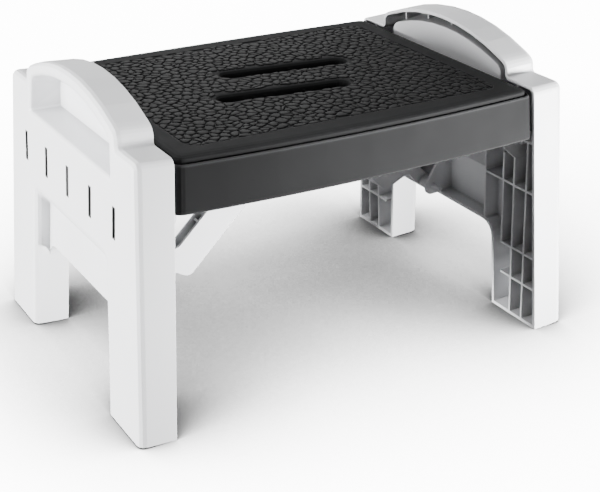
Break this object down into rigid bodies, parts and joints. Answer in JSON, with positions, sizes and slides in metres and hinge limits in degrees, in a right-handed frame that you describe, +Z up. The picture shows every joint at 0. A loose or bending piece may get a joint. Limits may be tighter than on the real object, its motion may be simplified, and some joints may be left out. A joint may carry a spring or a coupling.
{
  "type": "folding caravan step",
  "caption": "Folding caravan step: a rectangular grip tread on ribbed leg panels with arched handles, hinged and braced so that the legs fold flat under the tread.",
  "frame": {"origin": "on the floor, midway between the four feet", "axes": "+X along the tread, +Y to the rear, +Z up"},
  "size_m": [0.43, 0.2974, 0.2656],
  "materials": {
    "anthracite_plastic": "satin, pebbled grip area",
    "white_plastic": "satin, fine moulded grain"
  },
  "bodies": {
    "tread": {"tread": "anthracite_plastic"},
    "left_leg": {"left_leg": "white_plastic", "left_front_hinge_pin": "white_plastic", "left_rear_hinge_pin": "white_plastic", "left_brace_pin": "white_plastic"},
    "left_brace": {"left_brace": "white_plastic", "left_slide_pin": "white_plastic"},
    "right_leg": {"right_leg": "white_plastic", "right_front_hinge_pin": "white_plastic", "right_rear_hinge_pin": "white_plastic", "right_brace_pin": "white_plastic"},
    "right_brace": {"right_brace": "white_plastic", "right_slide_pin": "white_plastic"}
  },
  "joints": [
    {"name": "left_leg_fold", "type": "hinge", "parent": "tread", "child": "left_leg", "pos_m": [-0.17851, 0, 0.17603], "axis": [0, -1, 0], "range_deg": [0, 93.3]},
    {"name": "left_brace_turn", "type": "hinge", "parent": "left_leg", "child": "left_brace", "pos_m": [-0.17071, 0, 0.09244], "axis": [0, -1, 0], "range_deg": [-135.8, 0]},
    {"name": "right_leg_fold", "type": "hinge", "parent": "tread", "child": "right_leg", "pos_m": [0.17851, 0, 0.17603], "axis": [0, 1, 0], "range_deg": [0, 93.3]},
    {"name": "right_brace_turn", "type": "hinge", "parent": "right_leg", "child": "right_brace", "pos_m": [0.17071, 0, 0.09244], "axis": [0, 1, 0], "range_deg": [-135.8, 0]}
  ],
  "couplings": [
    {"joint": "left_brace_turn", "follows": "left_leg_fold", "ratio": -1.4553},
    {"joint": "right_brace_turn", "follows": "right_leg_fold", "ratio": -1.4553}
  ]
}
